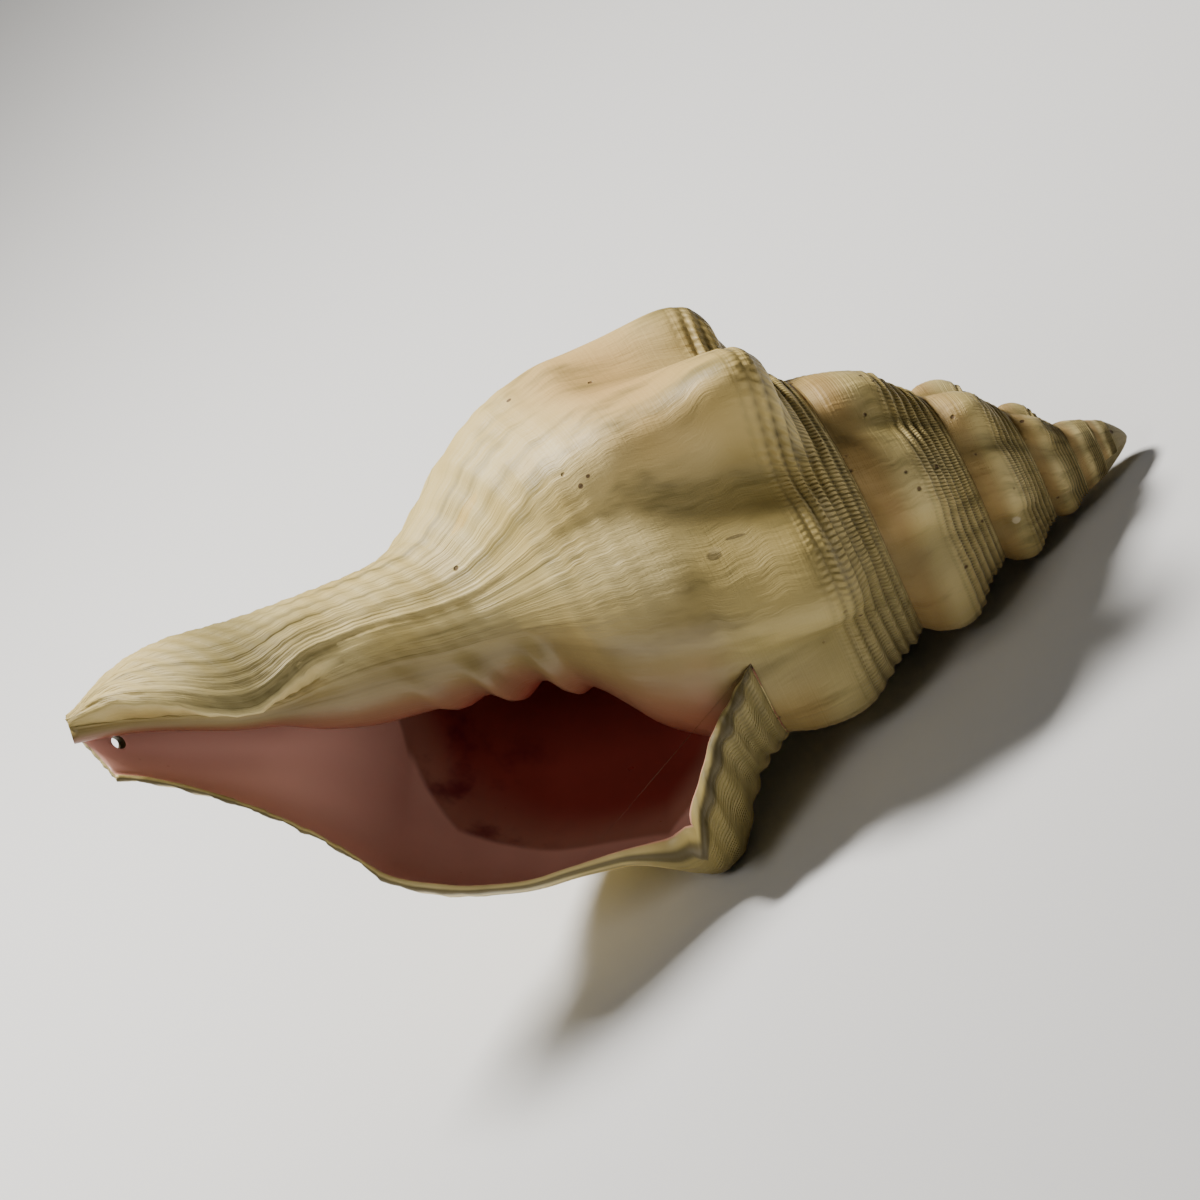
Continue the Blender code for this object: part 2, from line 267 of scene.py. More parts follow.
@dataclass(frozen=True)
class Skin:
    """Both faces of the shell's wall as functions of growth and row."""

    growth: Growth = Growth()
    whorl: Whorl = Whorl()
    columella: Columella = Columella()
    length: float = 299.0
    lip_setback: float = 9.0
    base_station: float = 1.75
    canal_stations: float = .85
    meeting_row: float = .2
    lip_sweep: Curve = Curve((0, .36, .6, 1.5, 1.8, 2.6), (0, -26, -41, -41, -47, -40))
    blend: float = 9.9
    tip_blend: float = 3.0
    lip_wall: Curve = Curve((0, .2, .4, .6, 2, 3), (3.4, 3.4, 3.0, 1.9, 1.8, 1.5))
    deep_wall: Curve = Curve((0, .2, .4, .6, 2, 3), (5.0, 5.6, 6.2, 5.0, 4.4, 2.6))
    cavity_turns: Curve = Curve((0, 150, 185, 215, 255, 299), (.75, .75, .70, .60, .52, .50))
    inner_knob_share: float = 0.4
    rag: float = 0.0045
    worn_apex: Curve = Curve((1.3, 2.0, 2.75, 4.5, 6.7, 8.5, 10.5, 14, 18),
                             (0, 2.4, 3.6, 5.4, 6.8, 7.8, 8.7, 9.9, 10.8))
    spur_height: float = 6.0

    def station_height(self, t: Array, s: Array) -> Tuple[Array, Array]:
        """Height and station of row s at growth t."""
        near, far = self.growth.height(t), self.growth.height(t + 1)
        f = np.where(s <= 1, s, 1 + (self.base_station - 1) * (np.clip(s, 1, 2) - 1))
        base = near + f * (far - near)
        end = self.length - self.lip_setback * step(-.45, -.05, t)
        h = base + (end - base) * np.clip(s - 2, 0, 1)
        return h, (h - near) / (far - near)

    def ragged(self, s: Array) -> Array:
        """Uneven line of a broken edge along the rows, from -1 to 1."""
        wave = np.sin(61 * s + 1.0) + .7 * np.sin(113 * s + 2.3) + .6 * np.sin(211 * s)
        return wave / 2.3

    def outer(self, t: Array, s: Array, knob_share: float = 1.0) -> Points:
        """The outer face.

        Args:
            t: Growth.
            s: Row.
            knob_share: Share of the knobs' height.

        Returns:
            The points, with the turn at which each really lies.
        """
        on_base = 1 + (self.base_station - 1) * (s - 1)
        on_canal = self.base_station + self.canal_stations * (s - 2)
        rows = np.where(s <= 1, s, np.where(s <= 2, on_base, on_canal))
        wound = t + self.lip_sweep.at(rows) / 360 * step(-.3, 0, t)
        wound = wound + self.rag * self.ragged(s) * step(1.9, 2.2, s) * step(-.05, 0, t)
        before = wound
        h, f = self.station_height(wound, s)
        edge = self.columella.edge_turn
        off = wound - edge
        near_edge = np.where(wound < edge, step(-.30, 0, off), 1 - step(0, .30, off))
        moved = self.columella.edge_line.at(h) - edge
        moved = moved + self.rag * self.ragged(s) * step(225, 240, h) * np.exp(-(off / .02) ** 2)
        wound = wound + moved * near_edge * step(193, 220, h)
        h, f = self.station_height(wound, s)
        wall = self.whorl.folded(wound, f, knob_share)
        blend = self.blend + (self.tip_blend - self.blend) * step(250, 285, h)
        low = soft_max(wall, self.columella.radius(h, before), blend)
        low = low + self.columella.fold_height(wound, h)
        r = wall + (low - wall) * step(1.0, 1.3, s)
        r = r + (soft_max(r, self.worn_apex.at(h), .8) - r) * step(-3.4, -4.0, t)
        spur = self.spur_height * knob_share * step(-.020, 0, t) * np.exp(-((f - .45) / .035) ** 2)
        return Points(t + 0 * s, s + 0 * t, wound, r + spur, h)

    def inner(self, t: Array, s: Array) -> Points:
        """The inner face of the outer wall, which runs to the seam below the meeting row."""
        share, small = self.inner_knob_share, 0.004
        met = np.maximum(s, self.meeting_row)
        at = self.outer(t, met, share)
        after = self.outer(t, np.clip(met + small, 0, 3), share)
        before = self.outer(t, np.clip(met - small, 0, 3), share)
        dr, dh = after.radius - before.radius, after.height - before.height
        length = np.hypot(dr, dh) + 1e-9
        straight = step(1.5, 2.05, met)
        out_r = dh / length * (1 - straight) + straight
        out_h = -dr / length * (1 - straight)
        wall = self.lip_wall.at(met)
        wall = wall + (self.deep_wall.at(met) - wall) * step(0, .25, -t)
        r, h = at.radius - wall * out_r, at.height - wall * out_h
        seam = self.outer(t, 0 * s)
        part = np.clip(s / self.meeting_row, 0, 1)
        r, h = seam.radius + (r - seam.radius) * part, seam.height + (h - seam.height) * part
        wound = seam.wound + (at.wound - seam.wound) * part
        return Points(at.turn, s + 0 * t, wound, r, h)

    def reach(self, lap: int, rows: Array) -> Array:
        """How many whorls the cavity runs back from growth lap, on each row."""
        reach = np.full(len(rows), .6)
        for _ in range(12):
            reach = 0.5 * reach + 0.5 * self.cavity_turns.at(self.station_height(lap - reach, rows)[0])
        return reach


class Chart:
    """The shell's skin laid out flat, as points and triangles."""

    KEYS = ("turn", "row", "wound", "station", "share", "inner", "crest")

    def __init__(self, growth: Growth, knobs: Knobs) -> None:
        """Starts an empty chart for a rule of growth and its knobs."""
        self.growth = growth
        self.knobs = knobs
        self.points: List[Array] = []
        self.faces: List[Array] = []
        self.corners: List[Array] = []
        self.sides: List[Tuple[int, Optional[Side]]] = []
        self.count = 0

    def add(self, block: Points, inner: float) -> Array:
        """Adds points.

        Args:
            block: The points in the rule's numbers.
            inner: How far over to the wall's inner face they lie.

        Returns:
            Their indices, in the block's own shape.
        """
        near_h, far_h = self.growth.height(block.wound), self.growth.height(block.wound + 1)
        near_r, far_r = self.growth.radius(block.wound), self.growth.radius(block.wound + 1)
        station = (block.height - near_h) / (far_h - near_h)
        share = (block.radius - near_r) / (far_r - near_r)
        across = np.full(block.turn.shape, inner)
        crest = self.knobs.wave(block.wound)
        stack = np.stack([block.turn, block.row, block.wound, station, share, across, crest], -1)
        ids = self.count + np.arange(block.turn.size).reshape(block.turn.shape)
        self.points.append(stack.reshape(-1, len(self.KEYS)))
        self.count += block.turn.size
        return ids

    def sheet(self, ids: Array, turn: Array, row: Array, side: Optional[Side] = None) -> None:
        """Adds two triangles to each cell of a grid.

        Args:
            ids: Point indices, columns of growth by rows.
            turn: Growth that each corner of the pattern has.
            row: Row that each corner of the pattern has.
            side: Face of the wall that the whole sheet counts as, or None for its points' own.
        """
        corner = np.stack([ids, turn + 0.0 * ids, row + 0.0 * ids], -1)
        a, b = corner[:-1, :-1], corner[:-1, 1:]
        c, d = corner[1:, 1:], corner[1:, :-1]
        for three in ((a, c, b), (a, d, c)):
            self.keep(np.stack(three, -2).reshape(-1, 3, 3), side)

    def strip(self, one: Array, two: Array, along: Tuple[Array, Array], turn: Tuple[Array, Array],
              row: Tuple[Array, Array]) -> None:
        """Adds triangles between two lines with different numbers of points.

        Args:
            one: Indices of the first line.
            two: Indices of the second line.
            along: How far along each point lies, in the same measure on both lines.
            turn: Growth of the pattern on each line.
            row: Row of the pattern on each line.
        """
        i = j = 0
        made = []
        while i < len(one) - 1 or j < len(two) - 1:
            first = along[0][i + 1] if i < len(one) - 1 else math.inf
            second = along[1][j + 1] if j < len(two) - 1 else math.inf
            here = [(one[i], turn[0][i], row[0][i]), (two[j], turn[1][j], row[1][j])]
            if first <= second:
                i += 1
                here.insert(1, (one[i], turn[0][i], row[0][i]))
            else:
                j += 1
                here.insert(1, (two[j], turn[1][j], row[1][j]))
            if len({point[0] for point in here}) == 3:
                made.append(here)
        self.keep(np.array(made, float))

    def keep(self, corners: Array, side: Optional[Side] = None) -> None:
        """Stores triangles.

        Args:
            corners: Index, turn and row at each corner of each triangle.
            side: Face of the wall that they count as, or None for their points' own.
        """
        self.faces.append(corners[..., 0].astype(int))
        self.corners.append(corners[..., 1:])
        self.sides.append((len(corners), side))

    def mesh(self, name: str) -> bpy.types.Mesh:
        """Makes the flat mesh, with the rule's numbers as attributes.

        Args:
            name: Name of the mesh.

        Returns:
            The mesh, whose x is growth and whose y is the row.
        """
        points, faces = np.concatenate(self.points), np.concatenate(self.faces)
        corners = np.concatenate(self.corners)
        inner = points[faces][..., 5]
        first = 0
        for count, side in self.sides:
            if side is not None:
                inner[first:first + count] = side.value
            first += count
        whole = (faces != np.roll(faces, 1, 1)).all(1)
        faces, corners, inner = faces[whole], corners[whole], inner[whole]
        flat = np.column_stack([points[:, 0], points[:, 1], 0 * points[:, 0]])
        mesh = bpy.data.meshes.new(name)
        mesh.from_pydata(flat.tolist(), [], faces.tolist())
        for place, key in enumerate(self.KEYS):
            layer = mesh.attributes.new(key, "FLOAT", "POINT")
            layer.data.foreach_set("value", points[:, place].astype(np.float32))
        pattern = mesh.uv_layers.new(name="growth", do_init=False)
        pattern.uv.foreach_set("vector", corners.astype(np.float32).ravel())
        across = np.stack([points[faces][..., 3], inner], -1)
        place = mesh.uv_layers.new(name="place", do_init=False)
        place.uv.foreach_set("vector", across.astype(np.float32).ravel())
        return mesh


class Value:
    """A socket in a node tree, so that node maths reads as Python."""

    def __init__(self, graph: "Graph", socket: bpy.types.NodeSocket) -> None:
        """Wraps an output socket of a tree."""
        self.graph = graph
        self.socket = socket

    def _math(self, operation: str, *values: Any) -> "Value":
        """A Math node on the values."""
        return self.graph.node("ShaderNodeMath", {"operation": operation}, dict(enumerate(values)))

    def __add__(self, other: "Number") -> "Value":
        """self + other."""
        return self._math("ADD", self, other)

    def __radd__(self, other: float) -> "Value":
        """other + self."""
        return self._math("ADD", other, self)

    def __sub__(self, other: "Number") -> "Value":
        """self - other."""
        return self._math("SUBTRACT", self, other)

    def __rsub__(self, other: float) -> "Value":
        """other - self."""
        return self._math("SUBTRACT", other, self)

    def __mul__(self, other: "Number") -> "Value":
        """self * other."""
        return self._math("MULTIPLY", self, other)

    def __rmul__(self, other: float) -> "Value":
        """other * self."""
        return self._math("MULTIPLY", other, self)

    def __pow__(self, other: "Number") -> "Value":
        """self to the power other."""
        return self._math("POWER", self, other)

    def __neg__(self) -> "Value":
        """-self."""
        return self._math("MULTIPLY", self, -1.0)

    def sin(self) -> "Value":
        """Sine of an angle in radians."""
        return self._math("SINE", self)

    def cos(self) -> "Value":
        """Cosine of an angle in radians."""
        return self._math("COSINE", self)

    def exp(self) -> "Value":
        """e to the power self."""
        return self._math("EXPONENT", self)

    def at_least(self, other: "Number") -> "Value":
        """The larger of the two."""
        return self._math("MAXIMUM", self, other)

    def at_most(self, other: "Number") -> "Value":
        """The smaller of the two."""
        return self._math("MINIMUM", self, other)

    def step(self, low: "Number", high: "Number") -> "Value":
        """Smooth rise from 0 at low to 1 at high, or a fall where high is the smaller."""
        return self.graph.node("ShaderNodeMapRange", {"interpolation_type": "SMOOTHSTEP"},
                               {0: self, 1: low, 2: high, 3: 0.0, 4: 1.0})

    def bump_at(self, middle: float, width: float) -> "Value":
        """1 at the middle, falling off to both sides over the width."""
        off = (self - middle) * (1 / width)
        return (-(off * off)).exp()

    def wave(self, pitch: float, sharpness: float = 1.0) -> "Value":
        """Rounded waves from 0 to 1, one to each pitch."""
        return ((self * (2 * math.pi / pitch)).cos() * 0.5 + 0.5) ** sharpness


Number = Union[float, Value]


class Graph:
    """Adds nodes to one tree of either kind."""

    def __init__(self, tree: bpy.types.NodeTree) -> None:
        """Takes the tree that the nodes go into."""
        self.tree = tree

    def node(self, kind: str, settings: Optional[Dict[str, Any]] = None,
             inputs: Optional[Dict[Union[int, str], Any]] = None, output: Union[int, str] = 0) -> Value:
        """Adds any node.

        Args:
            kind: The node's type.
            settings: Its settings, set first. "stops" fills a colour ramp.
            inputs: Values or links of its sockets, by index or name.
            output: The output that the result stands for.

        Returns:
            That output.
        """
        made = self.tree.nodes.new(kind)
        for name, value in (settings or {}).items():
            if name == "stops":
                self._fill(made.color_ramp, value)
            else:
                setattr(made, name, value)
        for name, value in (inputs or {}).items():
            if isinstance(value, Value):
                self.tree.links.new(value.socket, made.inputs[name])
            else:
                made.inputs[name].default_value = value
        return Value(self, made.outputs[output])

    @staticmethod
    def _fill(ramp: bpy.types.ColorRamp, stops: Sequence[Tuple[float, Colour]]) -> None:
        """Sets a ramp's stops."""
        while len(ramp.elements) < len(stops):
            ramp.elements.new(1.0)
        for element, (place, colour) in zip(ramp.elements, stops):
            element.position = place
            element.color = (*colour, 1.0)

    def number(self, name: str) -> Value:
        """A named number that each point carries, in a geometry tree."""
        return self.node("GeometryNodeInputNamedAttribute", {"data_type": "FLOAT"}, {"Name": name})

    def vector(self, x: Number, y: Number, z: Number) -> Value:
        """A vector from three numbers."""
        return self.node("ShaderNodeCombineXYZ", None, {0: x, 1: y, 2: z})

    def parts(self, vector: Value) -> Tuple[Value, Value, Value]:
        """The three numbers of a vector."""
        made = self.node("ShaderNodeSeparateXYZ", None, {0: vector})
        return tuple(Value(self, socket) for socket in made.socket.node.outputs)

    def noise(self, vector: Value, scale: float, detail: float = 2.0, rough: float = 0.5) -> Value:
        """Smooth noise round 0, within about -0.5 to 0.5."""
        made = self.node("ShaderNodeTexNoise", {"noise_dimensions": "3D"},
                         {"Vector": vector, "Scale": scale, "Detail": detail, "Roughness": rough})
        return made - 0.5

    def cells(self, vector: Value, scale: float, output: str = "Distance") -> Value:
        """Distance to the nearest of scattered spots, in cell widths, or the cell's colour."""
        return self.node("ShaderNodeTexVoronoi", {"voronoi_dimensions": "3D"},
                         {"Vector": vector, "Scale": scale, "Randomness": 1.0}, output)

    def mix(self, factor: Number, under: Any, over: Any) -> Value:
        """Lays one colour over another.

        Args:
            factor: Share of the upper colour.
            under: Lower colour, as three numbers or a link.
            over: Upper colour.

        Returns:
            The colour.
        """
        full = [c if isinstance(c, Value) else (*c, 1.0) for c in (under, over)]
        settings = {"data_type": "RGBA", "clamp_factor": True}
        return self.node("ShaderNodeMix", settings, {0: factor, 6: full[0], 7: full[1]}, 2)


@dataclass(frozen=True)
class Sculpture:
    """Sizes of the ornament, in millimetres, stations or turns.

    Below the full radius, in millimetres, the ornament shrinks with the whorl.
    """

    cord_pitch: float = 0.072
    cord_height: float = 1.55
    cord_end: float = 0.54
    thread_pitch: float = 0.055
    thread_height: float = 0.18
    base_pitch: float = 0.125
    base_height: float = 0.50
    line_height: float = 1.30
    dent_height: float = 0.75
    scars: Tuple[Tuple[float, float], ...] = ((-.842, .45), (-.706, .22), (-.55, .35), (-.93, .25))
    scar_width: float = .0055
    lip_cord_pitch: float = 0.085
    wart: Tuple[float, float, float, float] = (-3.003, .022, .647, .11)
    wart_height: float = 1.9
    full_radius: float = 46.0
    size_power: float = 0.7
    seed: float = 7.3

    def warped(self, g: Graph, turn: Value, row: Value) -> Value:
        """Growth with a slight drift, so that growth lines aren't ruled.

        Args:
            g: The tree's graph.
            turn: Growth.
            row: Row.

        Returns:
            The drifted growth.
        """
        drift = g.noise(g.vector(turn * 2.0, row * 2.6, self.seed), 1.0, 2.0)
        return turn + drift * 0.020

    def swung(self, f: Value, crest: Value) -> Value:
        """Station that a cord keeps to as it swings up round each knob."""
        return f + crest * f.step(.0, .30) * 0.022 - 0.012

    def glaze(self, turn: Value, row: Value) -> Value:
        """1 where the glossy callus covers the outside, in front of the aperture."""
        edge = turn + (row - 2.0).at_least(0.0) * -0.018 + (1.55 - row).at_least(0.0) * -0.035
        return edge.step(-.915, -.955) * row.step(1.02, 1.20)

    def lines(self, g: Graph, growth: Value, row: Value) -> Value:
        """Coarse growth lines from -0.5 to 0.5, which run from seam to canal."""
        return g.noise(g.vector(growth * 52.0, row * 0.7, self.seed + 3.0), 1.0, 2.0, 0.6)

    def height(self, g: Graph, inputs: Dict[str, Value], size: Value, place: Value) -> Value:
        """Height of the ornament over the smooth wall.

        Args:
            g: The winding tree's graph.
            inputs: The tree's named inputs.
            size: Size of the whorl against the body whorl, from 0 to 1.
            place: Point on the smooth wall.

        Returns:
            Height in millimetres.
        """
        turn, row, f = g.number("turn"), g.number("row"), g.number("station")
        outside = 1 - g.number("inner")
        growth = self.warped(g, turn, row)
        plain = outside * (1 - self.glaze(turn, row))
        sway = g.noise(g.vector(turn * 5.0, f * 3.0, self.seed + 9.0), 1.0) * 0.012

        uneven = g.noise(g.vector(turn * 9.0, f * 26.0, self.seed + 20.0), 1.0) * 1.3 + 0.85
        swung = self.swung(f, g.number("crest"))
        late = turn.step(-.13, -.05)
        cords = (swung + sway).wave(self.cord_pitch, 0.8) * (1 - late)
        cords = (swung + sway * 3.0).wave(self.lip_cord_pitch) * late * 1.35 + cords
        cords = cords * uneven * f.step(.012, .04)
        cords = cords * (1 - g.number("crest") * f.step(.20, .36) * turn.step(-1.3, -1.0) * 0.85)
        cords = cords * f.step(self.cord_end, self.cord_end * 0.55) * inputs["Cord height"]
        threads = (f + sway).wave(self.thread_pitch) * f.step(.38, .46) * f.step(1.25, 1.0)
        threads = threads * (1 - f.step(.93, .985))
        threads = threads * turn.step(-.9, -1.1) * inputs["Thread height"]
        low = f + sway * 2.0
        base = (low.wave(self.base_pitch) + low.wave(self.base_pitch / 3) * 0.30) * f.step(1.25, 1.55)
        base = base * inputs["Base cord height"]
        lines = self.lines(g, growth, row) * f.step(.0, .06) * inputs["Growth line height"]
        lines = lines * (0.42 + f.step(1.3, 1.7) * 0.15 + turn.step(-.10, -.01) * 0.5
                         + turn.step(-1.05, -1.6) * f.step(.10, .45) * 0.8)
        scars = 0.0
        for where, tall in self.scars:
            late = (growth - where).step(-self.scar_width * .4, 0.0)
            scars = late * (growth - where).step(self.scar_width * 2.5, 0.0) * tall + scars
        dents = g.noise(place, 0.035, 2.0, 0.45) * inputs["Dent height"]
        scaled = (cords + threads + base + lines) * size
        at_turn, wide, at_row, high = self.wart
        wart = turn.bump_at(at_turn, wide) * f.bump_at(at_row, high) * self.wart_height
        raised = (scaled + scars * row.step(.30, .45) + wart) * plain
        return raised + dents * (0.3 + 0.7 * size) * (outside * 2 - 1)


class Winding:
    """Geometry Nodes tree that winds the flat chart into the shell."""

    def __init__(self, growth: Growth, sculpture: Sculpture) -> None:
        """Takes the rule of growth and the ornament."""
        self.growth = growth
        self.sculpture = sculpture
        self.tree = bpy.data.node_groups.new("winding", "GeometryNodeTree")
        self.graph = Graph(self.tree)
        self.keys: Dict[str, str] = {}

    def _inputs(self, values: Dict[str, float]) -> Dict[str, Value]:
        """Adds the tree's sockets.

        Args:
            values: Default of each named input.

        Returns:
            Each input by name, with the chart under "Chart".
        """
        face = self.tree.interface
        face.new_socket("Chart", in_out="INPUT", socket_type="NodeSocketGeometry")
        face.new_socket("Shell", in_out="OUTPUT", socket_type="NodeSocketGeometry")
        for name, value in values.items():
            socket = face.new_socket(name, in_out="INPUT", socket_type="NodeSocketFloat")
            socket.default_value = value
            self.keys[name] = socket.identifier
        group = self.tree.nodes.new("NodeGroupInput")
        return {s.name: Value(self.graph, s) for s in group.outputs if s.name}

    def _seam(self, t: Value, trend: Trend, first: Value) -> Value:
        """Height or radius of the seam at growth t, from its value at the lip."""
        rate, fall = self.growth.height_rate if trend is Trend.HEIGHT else self.growth.radius_rate
        return first * (t * rate + t * t * fall).exp()

    def _wound(self, inputs: Dict[str, Value]) -> Value:
        """Where each point of the chart lies once wound.

        Args:
            inputs: The tree's named inputs.

        Returns:
            The place, with the height along Z.
        """
        g, rule = self.graph, self.growth
        t, f, share = g.number("wound"), g.number("station"), g.number("share")
        high, wide = inputs["Seam height"], inputs["Seam radius"]
        near, far = self._seam(t, Trend.HEIGHT, high), self._seam(t + 1.0, Trend.HEIGHT, high)
        h = near + f * (far - near)
        near, far = self._seam(t, Trend.RADIUS, wide), self._seam(t + 1.0, Trend.RADIUS, wide)
        r = near + share * (far - near)
        angle = t * (2 * math.pi) + inputs["Lip angle"]
        bend = h.step(rule.bend_start, rule.bend_end) * inputs["Canal bend"]
        bend = bend + h.bump_at(rule.apex_bend_height, rule.apex_bend_width) * rule.apex_bend
        along = h - (h * (-1 / rule.squeeze_height)).exp() * rule.apex_squeeze
        return g.vector(r * angle.cos(), r * angle.sin() + bend, along)

    def build(self, rest: Tuple[Tuple[float, float, float], Tuple[float, float, float]],
              material: bpy.types.Material) -> None:
        """Builds the tree.

        Args:
            rest: Turn in degrees and shift in millimetres from the shell's own frame.
            material: The finish that the tree sets.
        """
        g, rule, ornament = self.graph, self.growth, self.sculpture
        inputs = self._inputs({
            "Seam height": rule.seam_height, "Seam radius": rule.seam_radius,
            "Lip angle": math.radians(rule.lip_angle), "Canal bend": rule.canal_bend,
            "Cord height": ornament.cord_height, "Thread height": ornament.thread_height,
            "Base cord height": ornament.base_height, "Growth line height": ornament.line_height,
            "Dent height": ornament.dent_height,
        })
        shell = g.node("GeometryNodeSetPosition", None,
                       {"Geometry": inputs["Chart"], "Position": self._wound(inputs)})
        place = g.node("GeometryNodeInputPosition")
        radius = self._seam(g.number("wound"), Trend.RADIUS, inputs["Seam radius"])
        size = (radius * (1 / ornament.full_radius)).at_most(1.0) ** ornament.size_power
        tall = ornament.height(g, inputs, size, place)
        normal = g.node("GeometryNodeInputNormal")
        offset = g.node("ShaderNodeVectorMath", {"operation": "SCALE"}, {0: normal, "Scale": tall})
        shell = g.node("GeometryNodeSetPosition", None, {"Geometry": shell, "Offset": offset})
        turn, shift = rest
        shell = g.node("GeometryNodeTransform", None, {
            "Geometry": shell, "Translation": [v * MM for v in shift],
            "Rotation": [math.radians(a) for a in turn], "Scale": (MM, MM, MM)})
        x, y, z = g.parts(g.node("GeometryNodeInputPosition"))
        shell = g.node("GeometryNodeSetPosition", None,
                       {"Geometry": shell, "Position": g.vector(x, y, z.at_least(0.0))})
        shell = g.node("GeometryNodeSetShadeSmooth", None, {"Geometry": shell})
        shell = g.node("GeometryNodeRealizeInstances", None, {"Geometry": shell})
        shell = g.node("GeometryNodeSetMaterial", None, {"Geometry": shell, "Material": material})
        out = self.tree.nodes.new("NodeGroupOutput")
        self.tree.links.new(shell.socket, out.inputs[0])

    def wind(self, chart: bpy.types.Object, sizes: Dict[str, float]) -> bpy.types.Mesh:
        """Winds a chart.

        Args:
            chart: Object that holds the flat mesh.
            sizes: Values for the tree's inputs, by name.

        Returns:
            The plain mesh of the wound shell.
        """
        modifier = chart.modifiers.new("winding", "NODES")
        modifier.node_group = self.tree
        for name, value in sizes.items():
            modifier[self.keys[name]] = value
        bpy.context.view_layer.update()
        wound = chart.evaluated_get(bpy.context.evaluated_depsgraph_get())
        mesh = bpy.data.meshes.new_from_object(wound)
        chart.modifiers.remove(modifier)
        return mesh


@dataclass(frozen=True)
class Palette:
    """Colours of the shell, as linear red, green and blue."""

    cream: Colour = (.60, .455, .155)
    light: Colour = (.78, .630, .280)
    peach: Colour = (.72, .40, .125)
    tan: Colour = (.40, .225, .065)
    # Dark brown: dirt in the cord grooves, darker seams, and painted shadow along the lip's outer edge
    grime_and_shade: Colour = (.060, .043, .012)
    # Olive: streaks of the shell's own colour, and also painted shade in hollows, valleys and on faces
    # turned from the light
    olive: Colour = (.185, .145, .042)
    pit: Colour = (.09, .040, .012)
    callus: Colour = (.25, .178, .070)
    fold: Colour = (.27, .130, .072)
    rose: Colour = (.86, .47, .375)
    salmon: Colour = (.90, .46, .36)
    dusk: Colour = (.50, .215, .145)
    deep: Colour = (.34, .055, .040)
    wine: Colour = (.17, .014, .026)


@dataclass(frozen=True)
class Mark:
    """A small spot or scratch of another colour."""

    turn: float
    row: float
    wide: float
    long: float
    share: float
    colour: Colour


